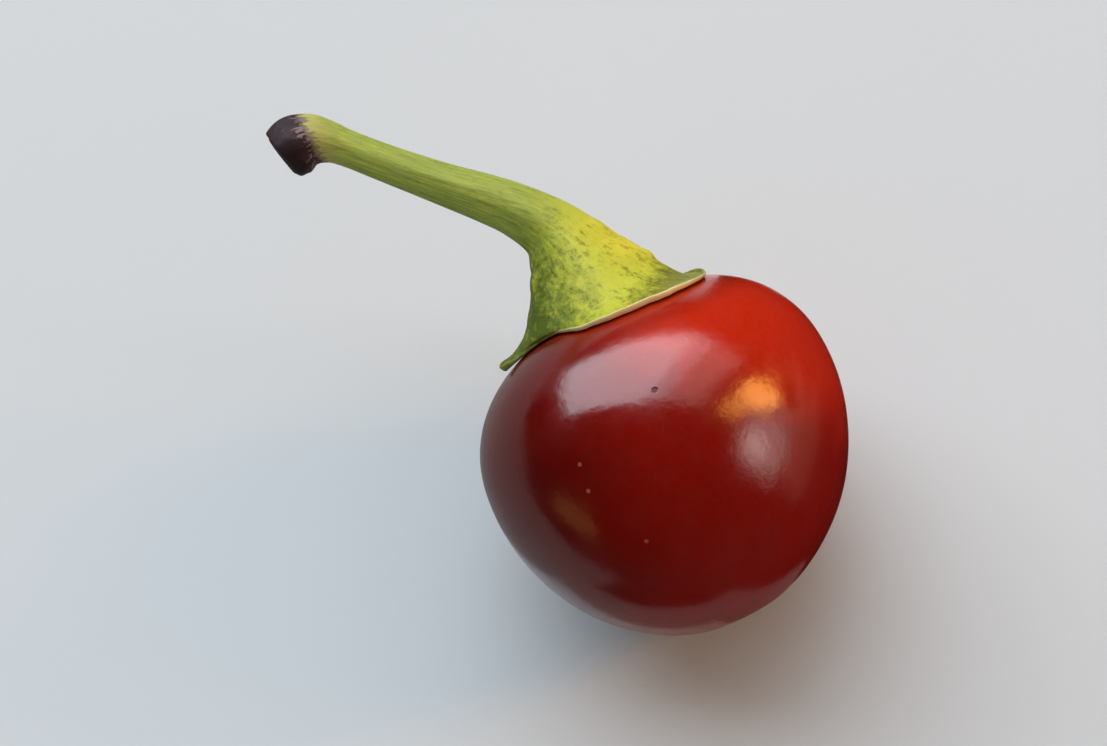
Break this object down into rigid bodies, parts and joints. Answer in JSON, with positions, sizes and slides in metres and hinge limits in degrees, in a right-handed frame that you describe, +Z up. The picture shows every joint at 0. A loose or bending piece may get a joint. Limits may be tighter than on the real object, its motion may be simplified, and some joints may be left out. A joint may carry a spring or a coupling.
{
  "type": "cherry pepper",
  "caption": "Round glossy red cherry pepper, as picked, lying on its side, with a toothed green calyx and a bent green stem ending in a dark cut.",
  "frame": {"origin": "centre of the small flat spot on the fruit that the pepper rests on", "axes": "+Z up, away from the surface it lies on; +X to the right in the picture, the stem running towards -X; +Y away from the viewer"},
  "size_m": [0.0555, 0.0453, 0.0367],
  "materials": {
    "skin": "smooth waxy red skin, deeper crimson towards the blossom end, soft gloss",
    "green": "mottled yellow-green, ribbed, satin to matt, dark brown at the cut end"
  },
  "bodies": {
    "root": {"fruit": "skin", "calyx_stem": "green"}
  },
  "joints": []
}
